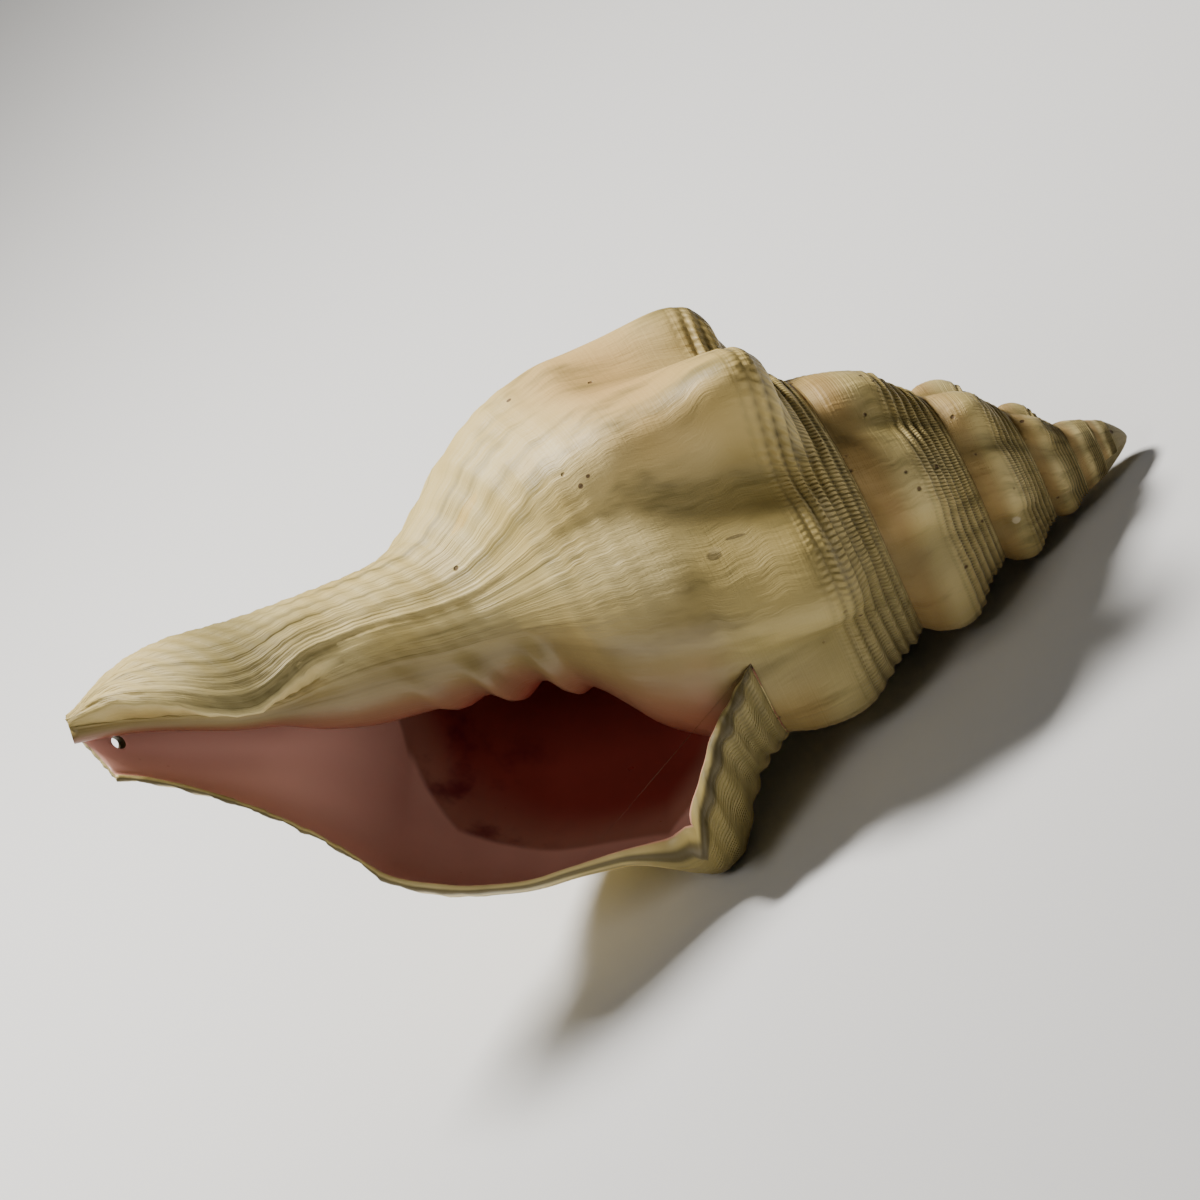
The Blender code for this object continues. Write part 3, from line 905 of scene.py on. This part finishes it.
@dataclass(frozen=True)
class ShellFinish:
    """Chalky cream outside, glossy pink inside."""

    palette: Palette = Palette()
    sculpture: Sculpture = Sculpture()
    marks: Tuple[Mark, ...] = (
        Mark(-.9055, .930, .0040, .050, .7, (.12, .085, .03)),
        Mark(-.9020, .912, .0030, .040, .35, (.66, .52, .24)),
        Mark(-.897, .777, .0016, .07, .7, (.10, .07, .025)),
        Mark(-.826, 1.524, .0020, .022, .9, (.10, .05, .015)),
        Mark(-.823, 1.451, .0014, .018, .9, (.10, .05, .015)),
        Mark(-.684, 1.519, .0020, .022, .9, (.10, .05, .015)),
        Mark(-.750, 2.056, .0100, .045, .5, (.66, .42, .07)),
        Mark(-3.003, .647, .0180, .080, .8, (.88, .76, .50)),
    )
    outside_gloss: float = 0.52
    inside_gloss: float = 0.30
    specular: float = 0.42
    pit_scale: float = 170.0
    beads_per_turn: float = 210.0
    bump_depth: float = MM

    def material(self) -> bpy.types.Material:
        """Builds the material on the pattern's own maps.

        Returns:
            The material.
        """
        material = bpy.data.materials.new("shell")
        material.use_nodes = True
        tree = material.node_tree
        shader = tree.nodes["Principled BSDF"]
        g = Graph(tree)
        turn, row, _ = g.parts(g.node("ShaderNodeUVMap", {"uv_map": "growth"}))
        f, inner, _ = g.parts(g.node("ShaderNodeUVMap", {"uv_map": "place"}))
        place = g.node("ShaderNodeTexCoord", None, None, "Object")
        masks = self._masks(g, turn, row, f, inner, place)
        colour = self._colour(g, masks, turn, row, f, place)
        tree.links.new(colour.socket, shader.inputs["Base Color"])
        gloss = masks["inner"].at_least(masks["glaze"])
        rough = self.outside_gloss + (self.inside_gloss - self.outside_gloss) * gloss
        rough = rough + g.noise(place, 160.0) * 0.10 + masks["pits"] * 0.2
        tree.links.new(rough.socket, shader.inputs["Roughness"])
        tall = self._fine_height(g, masks, turn, row, f, place)
        bump = g.node("ShaderNodeBump", None,
                      {"Strength": 1.0, "Distance": self.bump_depth, "Height": tall})
        tree.links.new(bump.socket, shader.inputs["Normal"])
        shader.inputs["Specular IOR Level"].default_value = self.specular
        return material

    def _masks(self, g: Graph, turn: Value, row: Value, f: Value, inner: Value,
               place: Value) -> Dict[str, Value]:
        """Where each kind of surface lies.

        Args:
            g: The material's graph.
            turn: Growth.
            row: Row.
            f: Station.
            inner: 1 on the wall's inner face.
            place: Point in the object's frame.

        Returns:
            Masks from 0 to 1, with the drifted growth and the cords' station, by name.
        """
        grain = self.sculpture
        glaze = grain.glaze(turn + g.noise(place, 45.0) * 0.03, row)
        pillar = turn.step(-.985, -1.01) * row.step(1.0, 1.05)
        growth = grain.warped(g, turn, row)
        spots = g.cells(place, self.pit_scale)
        chosen = g.parts(g.cells(place, self.pit_scale, "Color"))[0]
        spire = turn.step(-1.15, -1.6)
        often = 0.94 - spire * 0.40 - turn.bump_at(-2.9, .25) * 0.35 + inner * 0.2 + glaze * 0.2
        pits = spots.step(.15, .07) * (chosen - often).step(0.0, .02)
        beads = (growth + g.noise(place, 260.0) * 0.002).wave(1 / self.beads_per_turn)
        ramp = f.step(.01, .03) * f.step(.54, .32)
        lining = inner.step(.70, .90)
        crest = g.node("ShaderNodeAttribute", {"attribute_name": "crest"}, None, "Fac")
        return {"glaze": glaze.at_most(1.0), "pillar": pillar, "inner": lining, "side": inner,
                "growth": growth, "pits": pits, "spire": spire, "beads": beads,
                "ramp": ramp * (1 - lining), "crest": crest, "swung": grain.swung(f, crest)}

    def _fine_height(self, g: Graph, masks: Dict[str, Value], turn: Value, row: Value, f: Value,
                     place: Value) -> Value:
        """Height of what is too fine for the mesh, in millimetres.

        Args:
            g: The material's graph.
            masks: Masks from _masks.
            turn: Growth.
            row: Row.
            f: Station.
            place: Point in the object's frame.

        Returns:
            The height.
        """
        growth = masks["growth"]
        outside = (1 - masks["inner"]) * (1 - masks["glaze"] * 0.85)
        fine = g.noise(g.vector(growth * 120.0, row * 1.5, 2.0), 1.0, 4.0, 0.65)
        spiral = g.noise(g.vector(turn * 3.0, f * 62.0, 5.0), 1.0, 2.0, 0.6)
        beads = masks["beads"] * masks["ramp"] * masks["swung"].wave(self.sculpture.cord_pitch, 0.6)
        grain = g.noise(place, 900.0, 3.0, 0.6)
        total = fine * (0.62 + row.step(1.6, 2.2) * 0.12) + beads * 0.50
        total = total + spiral * (0.07 + masks["spire"] * 0.20 + masks["ramp"] * 0.20)
        total = total * outside - masks["pits"] * 0.5 + grain * 0.035 * (1 - masks["inner"] * 0.8)
        return total + g.noise(place, 90.0) * 0.10

    def _colour(self, g: Graph, masks: Dict[str, Value], turn: Value, row: Value, f: Value,
                place: Value) -> Value:
        """Colour of the surface, with painted shade in some hollows, on faces turned from the light and
        inside the aperture.

        Args:
            g: The material's graph.
            masks: Masks from _masks.
            turn: Growth.
            row: Row.
            f: Station.
            place: Point in the object's frame.

        Returns:
            The colour.
        """
        p, growth = self.palette, masks["growth"]
        cloud = g.noise(place, 22.0, 3.0, 0.55)
        streaks = g.noise(g.vector(growth * 38.0, row * 1.2, 4.0), 1.0, 3.0, 0.6)
        colour = g.mix((cloud + 0.5).step(.35, .70), p.cream, p.light)
        colour = g.mix(turn.bump_at(-.72, .10) * f.bump_at(.95, .45) * 0.75, colour, p.peach)
        colour = g.mix((streaks + 0.5).step(.46, .74) * (0.78 - masks["spire"] * 0.20), colour, p.olive)
        band = f.step(.55, .82) * f.step(1.04, .99) * turn.step(-1.0, -1.08)
        colour = g.mix(band * ((cloud + 0.5).step(.3, .6) * 0.35 + 0.40), colour, p.tan)
        groove = 1 - masks["swung"].wave(self.sculpture.cord_pitch, 0.7)
        dots = (1 - masks["beads"]) * 0.5 + 0.5
        dirt = groove * dots * masks["ramp"] * ((cloud + 0.5).step(.25, .60) * 0.45 + 0.45)
        colour = g.mix(dirt, colour, p.grime_and_shade)
        seam = f.step(.022, .0) + f.step(.985, 1.0) * f.step(1.02, 1.0) * turn.step(-1.0, -1.02)
        colour = g.mix(seam.at_most(1.0) * 0.65, colour, p.grime_and_shade)
        # Painted shade: olive in the concave hollow on the canal's outside
        canal_hollow_shade = turn.step(-.885, -.85) * turn.step(-.40, -.56) * row.bump_at(2.62, .13)
        colour = g.mix(canal_hollow_shade * 0.75, colour, p.olive)
        # Painted shade: olive darkens the valleys between the knobs, on the spire and on the body whorl
        dip = (1 - masks["crest"]).step(.35, 1.0)
        colour = g.mix(dip * f.step(.34, .50) * masks["spire"] * 0.42, colour, p.olive)
        knob_valley_shade = dip * turn.step(-1.15, -1.05) * turn.step(-.66, -.74)
        colour = g.mix(knob_valley_shade * f.step(.35, .55) * f.step(1.35, .95) * 0.45, colour, p.olive)
        # Painted shade: olive over the ramp just behind the lip, a face turned from the light
        colour = g.mix(turn.step(-.17, -.08) * f.step(.75, .45) * 0.65, colour, p.olive)
        # Painted shade: olive over the front of the body whorl above the aperture, a face turned from
        # the light
        colour = g.mix(turn.step(-.84, -.98) * turn.step(-1.45, -1.15) * 0.42, colour, p.olive)
        colour = g.mix(masks["pits"] * 0.85, colour, p.pit)
        for mark in self.marks:
            spot = turn.bump_at(mark.turn, mark.wide) * row.bump_at(mark.row, mark.long)
            colour = g.mix(spot.step(.35, .65) * mark.share, colour, mark.colour)
        low = (turn + (row - 1.6) * -0.01).step(-.87, -.99) * row.step(.85, 1.30)
        colour = g.mix(low * 0.85, colour, p.callus)
        colour = g.mix(turn.step(-.975, -1.05) * row.step(1.1, 1.5) * 0.85, colour, p.fold)
        # Painted shadow: grime_and_shade darkens the outer face along the lip's edge, which the lip
        # shades
        colour = g.mix(turn.step(-.010, .0) * masks["side"].step(.50, .30) * 0.85, colour, p.grime_and_shade)

        # Lining: rose by the lip, then a sharp curved line and dusk, red and wine behind it. The line
        # and the darkening behind it are partly the lining's own colour and partly painted shadow inside
        # the aperture
        line = row * -0.125 + 0.012 - (row - 1.75).at_least(0.0) * 0.25
        line = line - (row - 2.02).at_least(0.0) * 0.7
        line = line - (0.62 - row).at_least(0.0).at_most(0.22) * 0.6
        line = line + row.step(.14, .02) * 0.12 + cloud * 0.015
        inward = turn - line
        lining = g.mix(turn.step(-.08, -.005), p.rose, p.salmon)
        past = inward.step(.004, -.012)
        behind = g.mix(inward.step(-.01, -.12), p.dusk, p.deep)
        blotch = (g.noise(place, 55.0, 4.0, 0.6) + 0.5).step(.48, .70)
        behind = g.mix(blotch * row.step(1.0, 1.5) * 0.8, behind, p.wine)
        lining = g.mix(past * row.step(2.75, 2.35), lining, behind)
        colour = g.mix(masks["inner"], colour, lining)
        return g.mix(masks["pillar"] * turn.step(-1.02, -1.22), colour, p.deep)


@dataclass
class Shell:
    """The whole shell: chart, winding, drilled hole and finish."""

    skin: Skin = field(default_factory=Skin)
    sculpture: Sculpture = field(default_factory=Sculpture)
    finish: ShellFinish = field(default_factory=ShellFinish)
    spire_columns: Tuple[int, ...] = (40, 62, 92, 130, 180)
    body_columns: int = 240
    cavity_columns: int = 60
    ramp_rows: int = 48
    wall_rows: int = 20
    base_rows: int = 22
    canal_rows: int = 70
    rim_columns: int = 6
    rim_bulge: float = 0.42
    rim_turn: float = 0.004
    end_turn: float = -1.7
    apex_height: float = 1.3
    dome_rings: int = 4
    hole_diameter: float = 4.0
    hole_place: Tuple[float, float, float] = (-10.0, -0.6, 289.8)
    hole_length: float = 13.0
    hole_slant: float = 46.0
    rest_turn: Tuple[float, float, float] = (62.82, -21.8, -79.2)
    rest_shift: Tuple[float, float, float] = (134.377, -7.061, 7.540)

    def rows(self) -> Array:
        """Rows of the chart, closest together on the ramp."""
        canal = 2 + np.linspace(0, 1, self.canal_rows + 1)[1:] ** 1.15
        return np.concatenate([
            np.linspace(0, .42, self.ramp_rows, endpoint=False),
            np.linspace(.42, 1, self.wall_rows, endpoint=False),
            np.linspace(1, 2, self.base_rows, endpoint=False), [2.0], canal])

    def build(self) -> bpy.types.Object:
        """Builds the shell's object.

        Returns:
            The object, as one plain mesh in the row frame.
        """
        holder = bpy.data.objects.new("chart", self._chart().mesh("chart"))
        bpy.context.scene.collection.objects.link(holder)
        material = self.finish.material()
        winding = Winding(self.skin.growth, self.sculpture)
        winding.build((self.rest_turn, self.rest_shift), material)
        mesh = winding.wind(holder, {"Seam height": self.skin.growth.seam_height,
                                     "Seam radius": self.skin.growth.seam_radius})
        bpy.data.objects.remove(holder)
        self._cap(mesh)
        shell = bpy.data.objects.new("shell_skin", mesh)
        bpy.context.scene.collection.objects.link(shell)
        self._drill(shell)
        return shell

    def _chart(self) -> Chart:
        """Lays out the skin: spire, body whorl, rim, lining and columella.

        Returns:
            The flat chart.
        """
        skin, chart = self.skin, Chart(self.skin.growth, self.skin.whorl.knobs)
        rows = self.rows()
        seam = self.ramp_rows + self.wall_rows
        first = -self.skin.growth.whorls

        # Each whorl hangs on the last row of the one before it and goes on from its last column
        above = above_turn = column = None
        for number, columns in enumerate((*self.spire_columns, self.body_columns)):
            t = first + number + np.arange(columns + 1) / columns
            across = rows if number == len(self.spire_columns) else rows[:seam + 1]
            start = 0 if above is None else 1
            block = skin.outer(t[:, None], across[None, start:] + 0 * t[:, None])
            ids = chart.add(block, Side.OUTER.value)
            if above is not None:
                ids[0, :seam] = column
            chart.sheet(ids, t[:, None], across[None, start:])
            if above is None:
                self._dome(chart, ids, t, across)
            else:
                ends = (np.zeros(len(above)), np.full(len(t), across[1]))
                chart.strip(above, ids[:, 0], (above_turn + 1, t), (above_turn + 1, t), ends)
            above, above_turn, column = ids[:, seam - start], t, ids[-1, 1 - start:]
        return self._cavity(chart, rows, seam, ids, above[-1])

    def _dome(self, chart: Chart, ids: Array, t: Array, across: Array) -> None:
        """Closes the apex with a low dome.

        Args:
            chart: The chart.
            ids: Indices of the first whorl.
            t: Its growth values.
            across: Its rows.
        """
        ring = np.concatenate([ids[:, 0], ids[0, 1:-1][::-1]])
        turn = np.concatenate([t, np.full(len(across) - 2, t[0])])
        row = np.concatenate([0 * t, across[1:-1][::-1]])
        edge = self.skin.outer(turn, row)
        lines = [ring]
        for k in range(1, self.dome_rings + 1):
            u = k / (self.dome_rings + 1)
            height = self.apex_height + (edge.height - self.apex_height) * (1 - u) ** 1.6
            points = Points(turn, row, edge.wound, edge.radius * (1 - u), height)
            lines.append(chart.add(points, Side.OUTER.value))
        top = Points(turn[:1], row[:1], edge.wound[:1], 0 * turn[:1], 0 * turn[:1] + self.apex_height)
        lines.append(chart.add(top, Side.OUTER.value).repeat(len(ring)))
        grid = np.array(lines)
        grid = np.concatenate([grid, grid[:, :1]], 1)
        around = np.concatenate([turn, turn[:1]])
        chart.sheet(grid.T[::-1], around[::-1, None], 0 * grid.T)

    def _cavity(self, chart: Chart, rows: Array, seam: int, body: Array, corner: int) -> Chart:
        """Adds the rim, the lining and the columella's side of the cavity.

        Args:
            chart: The chart so far.
            rows: All rows.
            seam: Index of the row of the lower seam.
            body: Indices of the body whorl, from its second row on.
            corner: Index of the point that the rim's upper end is drawn to.

        Returns:
            The finished chart.
        """
        skin = self.skin
        part = np.linspace(0, 1, self.cavity_columns + 1)[:, None]
        low = rows[seam:]

        back = skin.reach(-1, low)
        growth = -1 - part * back
        pillar = chart.add(skin.outer(growth[1:], low[None] + 0 * growth[1:]), Side.OUTER.value)
        pillar = np.concatenate([body[:1, seam - 1:], pillar])
        chart.sheet(pillar[::-1], growth[::-1], low[None])

        back = skin.reach(0, rows)
        growth = -part * back
        block = skin.inner(growth[:, 1:], rows[None, 1:] + 0 * growth[:, 1:])
        lining = chart.add(block, Side.INNER.value)
        lining = np.concatenate([pillar[:, :1], lining], 1)

        tip = np.zeros(len(rows) - 1)
        out, inside = skin.outer(tip, rows[1:]), skin.inner(tip, rows[1:])
        thick = np.hypot(out.radius - inside.radius, out.height - inside.height)
        lines = [np.concatenate([[corner], body[-1]])]
        for k in range(1, self.rim_columns):
            angle = math.pi * k / self.rim_columns
            u = (1 - math.cos(angle)) / 2
            r = out.radius + (inside.radius - out.radius) * u
            h = out.height + (inside.height - out.height) * u
            wound = out.wound + (inside.wound - out.wound) * u
            wound = wound + math.sin(angle) * thick * self.rim_bulge / (2 * math.pi * r)
            line = chart.add(Points(tip, rows[1:], wound, r, h), k / self.rim_columns)
            lines.append(np.concatenate([[corner], line]))
        lines.append(lining[0])
        chart.sheet(np.array(lines)[:, 1:], tip[None, :1] + self.rim_turn, rows[None, 1:])
        for near, far in zip(lines[:-1], lines[1:]):
            chart.keep(np.array([[(corner, 0.0, 0.0), (far[1], 0.0, rows[1]), (near[1], 0.0, rows[1])]]))
        chart.sheet(lining, growth, rows[None], Side.INNER)

        deep = skin.station_height(growth[-1], rows)[0]
        near = skin.station_height(-1 - skin.reach(-1, low), low)[0]
        deep[0] = near[0] = 0.0
        turns = (np.full(len(low), self.end_turn), np.full(len(rows), self.end_turn))
        chart.strip(pillar[-1], lining[-1], (near, deep), turns, (low, rows))
        return chart

    @staticmethod
    def _cap(mesh: bpy.types.Mesh) -> None:
        """Closes the open end of the canal."""
        work = bmesh.new()
        work.from_mesh(mesh)
        loose = [v for v in work.verts if not v.link_faces]
        bmesh.ops.delete(work, geom=loose, context="VERTS")
        edges = [e for e in work.edges if e.is_boundary]
        filled = bmesh.ops.holes_fill(work, edges=edges, sides=0)
        bmesh.ops.triangulate(work, faces=filled["faces"])
        bmesh.ops.recalc_face_normals(work, faces=work.faces)
        left = sum(1 for e in work.edges if not e.is_manifold)
        LOG.info("skin: %d triangles, %d open edges", len(work.faces), left)
        work.to_mesh(mesh)
        work.free()

    def _drill(self, shell: bpy.types.Object) -> None:
        """Cuts the drilled hole through the canal's wall."""
        drill = bmesh.new()
        radius = self.hole_diameter / 2 * MM
        bmesh.ops.create_cone(drill, cap_ends=True, segments=48, depth=self.hole_length * MM,
                              radius1=radius, radius2=radius)
        turn = Euler([math.radians(a) for a in self.rest_turn]).to_matrix().to_4x4()
        rest = Matrix.Translation(Vector(self.rest_shift) * MM) @ turn
        aim = Matrix.Rotation(math.radians(90 + self.hole_slant), 4, "Y")
        spot = Matrix.Translation(Vector(self.hole_place) * MM) @ aim
        bmesh.ops.transform(drill, matrix=rest @ spot, verts=drill.verts)
        data = bpy.data.meshes.new("drill")
        drill.to_mesh(data)
        drill.free()
        cutter = bpy.data.objects.new("drill", data)
        bpy.context.scene.collection.objects.link(cutter)
        modifier = shell.modifiers.new("drill", "BOOLEAN")
        modifier.operation = "DIFFERENCE"
        modifier.solver = "EXACT"
        modifier.object = cutter
        bpy.context.view_layer.update()
        drilled = shell.evaluated_get(bpy.context.evaluated_depsgraph_get())
        mesh = bpy.data.meshes.new_from_object(drilled)
        shell.modifiers.remove(modifier)
        shell.data = mesh
        bpy.data.objects.remove(cutter)

    def dress(self, shell: bpy.types.Object) -> None:
        """Ties the shell to the solid that it stands for."""
        shell.data.shade_smooth()
        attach(shell, "root")
        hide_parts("shell")


@dataclass(frozen=True)
class Softbox:
    """A square soft light that looks at the shell."""

    name: str
    place: Tuple[float, float, float]
    side: float
    power: float
    colour: Colour = (1.0, 1.0, 1.0)

    def build(self, target: Vector) -> bpy.types.Object:
        """Adds the light, turned to the target."""
        data = bpy.data.lights.new(self.name, "AREA")
        data.shape = "SQUARE"
        data.size = self.side
        data.energy = self.power
        data.color = self.colour
        lamp = bpy.data.objects.new(self.name, data)
        lamp.location = self.place
        lamp.rotation_euler = (target - lamp.location).to_track_quat("-Z", "Y").to_euler()
        bpy.context.scene.collection.objects.link(lamp)
        return lamp


@dataclass
class Studio:
    """Pale floor, soft light and the camera."""

    floor_side: float = 8.0
    floor_colour: Colour = (.74, .74, .74)
    floor_roughness: float = 0.9
    sky: float = 0.035
    lights: Tuple[Softbox, ...] = (
        Softbox("key", (-.32, .38, 1.01), 0.26, 28.0, (1.0, .97, .92)),
        Softbox("fill", (-.50, -.80, 1.05), 0.40, 3.4, (1.0, .97, .92)),
    )
    target: Tuple[float, float, float] = (0.0, 0.0, 0.05)
    right: Tuple[float, float, float] = (.7616, -.1566, -.6289)
    up: Tuple[float, float, float] = (.634, .3811, .6729)
    back: Tuple[float, float, float] = (.1343, -.9112, .3895)
    camera_place: Tuple[float, float, float] = (.18868, -1.30468, .62464)
    lens: float = 156.0

    def floor(self) -> bpy.types.Object:
        """Adds the floor.

        Returns:
            The floor.
        """
        mesh = bmesh.new()
        bmesh.ops.create_grid(mesh, x_segments=1, y_segments=1, size=self.floor_side / 2)
        data = bpy.data.meshes.new("floor")
        mesh.to_mesh(data)
        mesh.free()
        floor = bpy.data.objects.new("floor", data)
        material = bpy.data.materials.new("floor")
        material.use_nodes = True
        shader = material.node_tree.nodes["Principled BSDF"]
        shader.inputs["Base Color"].default_value = (*self.floor_colour, 1.0)
        shader.inputs["Roughness"].default_value = self.floor_roughness
        data.materials.append(material)
        bpy.context.scene.collection.objects.link(floor)
        return floor

    def light(self) -> None:
        """Adds the sky and the soft lights."""
        world = bpy.data.worlds.new("studio")
        world.use_nodes = True
        background = world.node_tree.nodes["Background"]
        background.inputs["Color"].default_value = (1.0, 1.0, 1.0, 1.0)
        background.inputs["Strength"].default_value = self.sky
        bpy.context.scene.world = world
        for box in self.lights:
            box.build(Vector(self.target))

    def camera(self) -> bpy.types.Object:
        """Adds the camera, rolled as the shell was pictured.

        Returns:
            The camera.
        """
        data = bpy.data.cameras.new("camera")
        data.lens = self.lens
        data.sensor_width = 36.0
        data.clip_start, data.clip_end = 0.05, 50.0
        camera = bpy.data.objects.new("camera", data)
        turn = Matrix((self.right, self.up, self.back)).transposed()
        camera.matrix_world = Matrix.Translation(self.camera_place) @ turn.to_4x4()
        bpy.context.scene.collection.objects.link(camera)
        bpy.context.scene.camera = camera
        return camera


def main() -> None:
    """Builds the shell and its studio."""
    logging.basicConfig(level=logging.INFO, format="%(name)s: %(message)s")
    shell = Shell()
    piece = shell.build()
    shell.dress(piece)
    LOG.info("%s: %d faces", piece.name, len(piece.data.polygons))
    studio = Studio()
    LOG.info("%s: %.1f m", studio.floor().name, studio.floor_side)
    studio.light()
    LOG.info("%s: %.0f mm lens", studio.camera().name, studio.lens)


if __name__ == "__main__":
    main()
